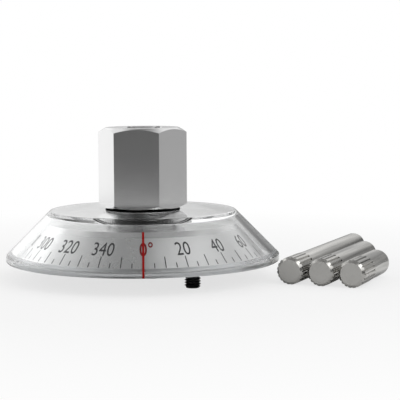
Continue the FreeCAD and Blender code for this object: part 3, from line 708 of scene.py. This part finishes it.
class ReadingLine(Operator):
    """Lay the red reading line down the cover's cone and over its rim"""

    bl_idname = "torque_gauge.reading_line"
    bl_label = "Reading Line"
    bl_options = {"REGISTER", "UNDO"}

    def execute(self, context):
        gauge = context.scene.torque_gauge
        sizes = gauge.cover
        fall = (sizes.rim_radius - sizes.deck_radius) / (sizes.deck_top - sizes.rim_top)
        high = gauge.dial.bevel_low + sizes.line_rise
        start = sizes.rim_radius - (high - sizes.rim_top) * fall
        outline = rounded([
            (start, high), (sizes.rim_radius, sizes.rim_top),
            (sizes.rim_radius, sizes.rim_low), (sizes.rim_radius - 1 * MM, sizes.rim_low),
        ], {1: sizes.rim_round, 2: sizes.rim_round})[:-1]
        start_fresh()
        bpy.ops.mesh.primitive_plane_add(size=1.0)
        line = bpy.context.object
        line.scale = (sizes.line_width, gauge.dial.ink, 1.0)
        line.location = (0.0, -outline[0][0], outline[0][1])
        settle(line)
        edit_all()
        reach, height = outline[0]
        for wide, low in outline[1:]:
            bpy.ops.mesh.extrude_region_move(
                TRANSFORM_OT_translate={"value": (0.0, reach - wide, low - height)})
            reach, height = wide, low
        tidy_mesh()
        finish_piece(line, "red_reading_line", ink_finish("red_line_ink", gauge.colours.red))
        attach(line, "base")
        return {"FINISHED"}


class ThreadedStud(Operator):
    """Cut the black stud with its helical thread, groove, root and hexagon socket"""

    bl_idname = "torque_gauge.threaded_stud"
    bl_label = "Threaded Stud"
    bl_options = {"REGISTER", "UNDO"}

    def execute(self, context):
        gauge = context.scene.torque_gauge
        sizes = gauge.stud
        low, high = STUD_LOW.z, STUD_HIGH.z
        root = (STUD_HIGH.x - STUD_LOW.x) / 2
        core = sizes.radius - sizes.depth
        shoulder = sizes.neck_low - sizes.pitch / 4
        spare = sizes.pitch * 1.5
        stud = turn_profile([(core, low - spare), (core, shoulder), (root * 1.2, shoulder),
                             (root * 1.2, high + spare)], STUD_SEGMENTS, solid=True)
        cut_with(stud, self.make_tooth(sizes, low - spare), "UNION")
        outline = turn_profile([
            (sizes.radius - sizes.bevel, low), (sizes.radius, low + sizes.bevel),
            (sizes.radius, sizes.neck_low), (sizes.neck_radius, sizes.neck_low),
            (sizes.neck_radius, sizes.root_low), (root, sizes.root_low),
            (root, high - sizes.bevel), (root - sizes.bevel, high)], STUD_SEGMENTS,
            solid=True)
        cut_with(stud, outline, "INTERSECT")
        start_fresh()
        bpy.ops.mesh.primitive_cylinder_add(
            vertices=6, radius=sizes.key / math.sqrt(3.0), depth=2 * sizes.key_depth,
            location=(0.0, 0.0, low), rotation=(0.0, 0.0, math.radians(30.0)))
        cut_with(stud, settle(bpy.context.object))
        middle = (STUD_LOW + STUD_HIGH) / 2
        stud.location = (middle.x, middle.y, 0.0)
        settle(stud)
        tidy_mesh()
        finish_piece(stud, "threaded_stud", plain_metal_finish(
            "black_oxide_steel", gauge.colours.black, 0.3, 0.45, metallic=0.6), smooth=25.0)
        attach(stud, "base")
        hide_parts("rod_stud")
        return {"FINISHED"}

    def make_tooth(self, sizes, start):
        """Ridge of the thread, wound round the Z axis by a Screw modifier."""
        inner = sizes.radius - sizes.depth * TOOTH_HEIGHT
        width = sizes.pitch * TOOTH_WIDTH
        turns = math.ceil((sizes.neck_low - start) / sizes.pitch)
        start_fresh()
        bpy.ops.mesh.primitive_plane_add(size=1.0, rotation=(math.radians(90.0), 0.0, 0.0))
        tooth = bpy.context.object
        tooth.scale = (sizes.radius - inner, width, 1.0)
        tooth.location = ((sizes.radius + inner) / 2, 0.0, start)
        settle(tooth)
        pick(tooth, lambda place: place.x > (sizes.radius + inner) / 2)
        bpy.ops.transform.resize(value=(1.0, 1.0, sizes.crest / width),
                                 center_override=(sizes.radius, 0.0, start))
        bpy.ops.mesh.select_all(action="SELECT")
        bpy.ops.mesh.delete(type="ONLY_FACE")
        bpy.ops.object.mode_set(mode="OBJECT")
        apply_modifier(tooth, "SCREW", axis="Z", angle=math.radians(360.0), iterations=turns,
                       screw_offset=sizes.pitch, steps=TOOTH_STEPS,
                       render_steps=TOOTH_STEPS)
        edit_all()
        bpy.ops.mesh.fill_holes(sides=0)
        tidy_mesh()
        return tooth


class SatinDial(Operator):
    """Work a copy of the dial, its cone drawn in a little and its foot let down"""

    bl_idname = "torque_gauge.satin_dial"
    bl_label = "Satin Dial"
    bl_options = {"REGISTER", "UNDO"}

    def execute(self, context):
        gauge = context.scene.torque_gauge
        sizes = gauge.dial
        piece = worked_copy("dial")
        pick(piece, lambda place: math.hypot(place.x, place.y) > sizes.hub_radius)
        bpy.ops.transform.resize(value=(sizes.drawn_in, sizes.drawn_in, 1.0),
                                 center_override=(0.0, 0.0, 0.0))
        pick(piece, lambda place: place.z < sizes.bevel_low - 10 * TOLERANCE)
        bpy.ops.transform.resize(
            value=(1.0, 1.0, (sizes.bevel_low - sizes.foot) / (sizes.bevel_low - DIAL_LOW.z)),
            center_override=(0.0, 0.0, sizes.bevel_low))
        tidy_mesh()
        finish_piece(piece, "satin_dial", dial_finish(
            gauge.colours.dial, sizes.bevel_low + TOLERANCE))
        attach(piece, "spindle")
        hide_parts("dial")
        return {"FINISHED"}


class Graduation(Operator):
    """Print the marks at every five and ten degrees round the dial"""

    bl_idname = "torque_gauge.graduation"
    bl_label = "Graduation"
    bl_options = {"REGISTER", "UNDO"}

    def execute(self, context):
        gauge = context.scene.torque_gauge
        sizes = gauge.dial
        rise = cone_rise(sizes)
        rings = []
        for long, turn in ((sizes.long_mark, 0), (sizes.short_mark, SHORT_TURN)):
            start_fresh()
            bpy.ops.mesh.primitive_cube_add(size=1.0)
            mark = bpy.context.object
            mark.scale = (sizes.mark_width, long, sizes.ink * 2)
            middle = sizes.mark_inset + long / 2
            mark.location = (0.0, -sizes.foot_radius + middle * math.cos(rise),
                             sizes.foot + middle * math.sin(rise))
            mark.rotation_euler = (rise, 0.0, 0.0)
            settle(mark)
            mark.rotation_euler = (0.0, 0.0, math.radians(turn))
            settle(mark)
            start_fresh()
            bpy.ops.object.empty_add(rotation=(0.0, 0.0, math.radians(LONG_STEP)))
            step = bpy.context.object
            apply_modifier(mark, "ARRAY", count=360 // LONG_STEP, use_relative_offset=False,
                           use_object_offset=True, offset_object=step)
            bpy.data.objects.remove(step)
            rings.append(mark)
        joined(rings)
        finish_piece(rings[0], "graduation_marks", ink_finish("grey_mark_ink",
                                                              gauge.colours.ink))
        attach(rings[0], "spindle")
        return {"FINISHED"}


class Numerals(Operator):
    """Print the numbers at every twenty degrees, with the zero in red"""

    bl_idname = "torque_gauge.numerals"
    bl_label = "Numerals"
    bl_options = {"REGISTER", "UNDO"}

    def execute(self, context):
        sizes = context.scene.torque_gauge.dial
        colours = context.scene.torque_gauge.colours
        rise = cone_rise(sizes)
        reach = sizes.foot_radius - sizes.numeral_centre * math.cos(rise)
        height = sizes.foot + sizes.numeral_centre * math.sin(rise)
        zero, *others = range(0, 360, NUMERAL_STEP)
        for name, values, bold, finish in (
                ("red_zero", [zero], sizes.zero_bold,
                 ink_finish("red_zero_ink", colours.red)),
                ("degree_numbers", others, sizes.numeral_bold,
                 ink_finish("grey_number_ink", colours.ink))):
            numbers = []
            for degrees in values:
                number = self.make_number(context, degrees, bold)
                number.rotation_euler = (rise, 0.0, 0.0)
                number.location = (0.0, -reach, height)
                settle(number)
                number.rotation_euler = (0.0, 0.0, math.radians(degrees))
                numbers.append(settle(number))
            piece = joined(numbers)
            apply_modifier(piece, "SHRINKWRAP", target=bpy.data.objects["satin_dial"],
                           wrap_method="NEAREST_SURFACEPOINT", wrap_mode="ABOVE_SURFACE",
                           offset=sizes.ink)
            apply_modifier(piece, "SOLIDIFY", thickness=sizes.ink * 1.6, offset=-1.0)
            finish_piece(piece, name, finish)
            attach(piece, "spindle")
        return {"FINISHED"}

    def make_number(self, context, degrees, bold):
        """Flat mesh of a number, its figures centred on the origin."""
        sizes = context.scene.torque_gauge.dial
        start_fresh()
        bpy.ops.object.text_add()
        label = bpy.context.object
        label.data.body = str(degrees)
        label.data.size = sizes.numeral_height * FONT_SIZE
        label.data.offset = label.data.size * bold
        label.data.resolution_u = 4
        context.view_layer.update()
        box = [Vector(corner) for corner in label.bound_box]
        middle = (box[0] + box[6]) / 2
        if degrees == 0:
            label.data.body = "0\u00b0"
        bpy.ops.object.convert(target="MESH")
        number = bpy.context.object
        number.location = (-middle.x * sizes.numeral_squeeze, -middle.y, 0.0)
        number.scale = (sizes.numeral_squeeze, 1.0, 1.0)
        settle(number)
        edit_all()
        bpy.ops.mesh.quads_convert_to_tris()
        bpy.ops.mesh.subdivide(number_cuts=1)
        bpy.ops.object.mode_set(mode="OBJECT")
        return number


class Finishes(Operator):
    """Give every carried-over part its finish"""

    bl_idname = "torque_gauge.finishes"
    bl_label = "Finishes"
    bl_options = {"REGISTER", "UNDO"}

    def execute(self, context):
        tones = context.scene.torque_gauge.colours
        spring = plain_metal_finish("phosphated_spring_steel", tones.spring, 0.38, 0.5)
        rod = rod_finish(tones.rod)
        finishes = {
            "spindle": plated_finish(tones.plated),
            "dial": turned_finish("turned_dial_aluminium", tones.dial, 0.26, 0.3),
            "base_plate": turned_finish("turned_base_aluminium", tones.alloy, 0.3, 0.4),
            "bush": turned_finish("turned_bronze", tones.bronze, 0.28, 0.38),
            "neck_seal": rubber_finish(tones.rubber),
            "detent_ball": plain_metal_finish("polished_ball_steel", tones.plated, 0.08, 0.14,
                                              speck=0.02),
            "dial_screws": plain_metal_finish("zinc_plated_steel", tones.alloy, 0.25, 0.35),
            "low_washer": spring, "top_washer": spring, "wave_washer": spring,
            "circlip": spring, "detent_spring": spring,
            "long_rod": rod, "medium_rod": rod, "short_rod": rod,
        }
        for name, finish in finishes.items():
            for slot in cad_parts[name].material_slots:
                slot.material = finish
        return {"FINISHED"}


class Stage(Operator):
    """Set the pale floor, the studio's soft light and the camera"""

    bl_idname = "torque_gauge.stage"
    bl_label = "Stage"
    bl_options = {"REGISTER", "UNDO"}

    def execute(self, context):
        stage = context.scene.torque_gauge.stage
        self.set_world(context)
        self.set_floor(stage)
        self.set_lamp(stage)
        self.set_camera(context, stage)
        context.scene.view_settings.view_transform = "Standard"
        cycles = context.scene.cycles
        cycles.max_bounces = LIGHT_BOUNCES
        cycles.glossy_bounces = cycles.transmission_bounces = LIGHT_BOUNCES
        return {"FINISHED"}

    def set_world(self, context):
        """White room for the camera; rows of studio light for all that mirrors it."""
        world = bpy.data.worlds.new("studio")
        context.scene.world = world
        world.use_nodes = True
        tree = world.node_tree
        tree.nodes.clear()
        place = add_node(tree, "ShaderNodeTexCoord")
        parts = add_node(tree, "ShaderNodeSeparateXYZ", {"Vector": place.outputs["Generated"]})
        turn = spread(tree, maths(tree, "ARCTAN2", parts.outputs["Y"], parts.outputs["X"]),
                      -math.pi, math.pi, 0.0, 1.0)
        tone = ring_ramp(tree, turn, STUDIO_ROWS[0])
        for top, levels in zip(ROW_TOPS, STUDIO_ROWS[1:]):
            higher = spread(tree, parts.outputs["Z"], top - ROW_BLEND, top + ROW_BLEND,
                            0.0, 1.0)
            tone = mixed(tree, "RGBA", higher, tone, ring_ramp(tree, turn, levels))
        rays = add_node(tree, "ShaderNodeLightPath")
        white = (*[1.0 / WORLD_STRENGTH] * 3, 1.0)
        seen = mixed(tree, "RGBA", rays.outputs["Is Camera Ray"], tone, white)
        light = add_node(tree, "ShaderNodeBackground", {"Color": seen},
                         {"Strength": WORLD_STRENGTH})
        add_node(tree, "ShaderNodeOutputWorld", {"Surface": light.outputs[0]})

    def set_floor(self, stage):
        """Pale disc that the camera sees as white, apart from a part of its shadow."""
        start_fresh()
        bpy.ops.mesh.primitive_circle_add(vertices=96, radius=stage.floor_radius,
                                          fill_type="NGON")
        floor = bpy.context.object
        floor.name = "floor"
        finish, tree, shader = new_finish("pale_floor", Roughness=0.9, Specular_IOR_Level=0.1,
                                          Base_Color=(*[stage.floor_grey] * 3, 1.0))
        glow = add_node(tree, "ShaderNodeEmission", values={"Strength": 1.0})
        rays = add_node(tree, "ShaderNodeLightPath")
        veil = spread(tree, axis_distance(tree, object_parts(tree)), VEIL_START, VEIL_END,
                      1.0 - stage.shadow, 1.0)
        seen = maths(tree, "MULTIPLY", rays.outputs["Is Camera Ray"], veil)
        ground = add_node(tree, "ShaderNodeMixShader", {
            "Fac": seen, 1: shader.outputs[0], 2: glow.outputs[0]})
        tree.links.new(ground.outputs[0], tree.nodes["Material Output"].inputs["Surface"])
        floor.data.materials.append(finish)

    def set_lamp(self, stage):
        """Soft lamp overhead that only lights, and isn't mirrored."""
        start_fresh()
        bpy.ops.object.light_add(type="AREA", location=LAMP_PLACE)
        lamp = bpy.context.object
        lamp.name = "top_softbox"
        lamp.data.shape = "RECTANGLE"
        lamp.data.size = lamp.data.size_y = LAMP_SIZE
        lamp.data.energy = stage.lamp_power
        lamp.visible_glossy = lamp.visible_transmission = False
        lamp.rotation_euler = (-LAMP_PLACE).to_track_quat("-Z", "Y").to_euler()

    def set_camera(self, context, stage):
        """Camera in front of the gauge, turned, pitched and leaned as the photo shows."""
        start_fresh()
        bpy.ops.object.camera_add(location=(0.0, -stage.distance, stage.eye))
        camera = bpy.context.object
        camera.name = "camera"
        camera.data.lens = stage.focal
        camera.data.sensor_width = 36.0
        camera.data.clip_start = 0.01
        turn = (Matrix.Rotation(-stage.yaw, 3, "Z")
                @ Matrix.Rotation(math.radians(90.0) - stage.pitch, 3, "X")
                @ Matrix.Rotation(stage.roll, 3, "Z"))
        camera.rotation_euler = turn.to_euler()
        context.scene.camera = camera


class GaugePanel(Panel):
    """Lists the gauge's pieces in the sidebar"""

    bl_idname = "VIEW3D_PT_torque_gauge"
    bl_label = "Torque Angle Gauge"
    bl_space_type = "VIEW_3D"
    bl_region_type = "UI"
    bl_category = "Gauge"

    def draw(self, context):
        for operator in OPERATORS:
            self.layout.operator(operator.bl_idname)
        gauge = context.scene.torque_gauge
        for group in (gauge.cover, gauge.dial, gauge.stud, gauge.colours, gauge.stage):
            box = self.layout.box()
            for name in group.__annotations__:
                box.prop(group, name)


SETTINGS = (CoverSizes, DialSizes, StudSizes, FinishColours, StageSettings, GaugeSettings)
OPERATORS = (Stage, Finishes, ClearCover, ReadingLine, SatinDial, Graduation, Numerals,
             ThreadedStud)


def register():
    for item in (*SETTINGS, *OPERATORS, GaugePanel):
        bpy.utils.register_class(item)
    bpy.types.Scene.torque_gauge = PointerProperty(type=GaugeSettings)


def unregister():
    del bpy.types.Scene.torque_gauge
    for item in reversed((*SETTINGS, *OPERATORS, GaugePanel)):
        bpy.utils.unregister_class(item)


def main():
    """Make the gauge in order."""
    register()
    bpy.ops.torque_gauge.stage()
    bpy.ops.torque_gauge.finishes()
    bpy.ops.torque_gauge.clear_cover()
    bpy.ops.torque_gauge.reading_line()
    bpy.ops.torque_gauge.satin_dial()
    bpy.ops.torque_gauge.graduation()
    bpy.ops.torque_gauge.numerals()
    bpy.ops.torque_gauge.threaded_stud()


if __name__ == "__main__":
    main()
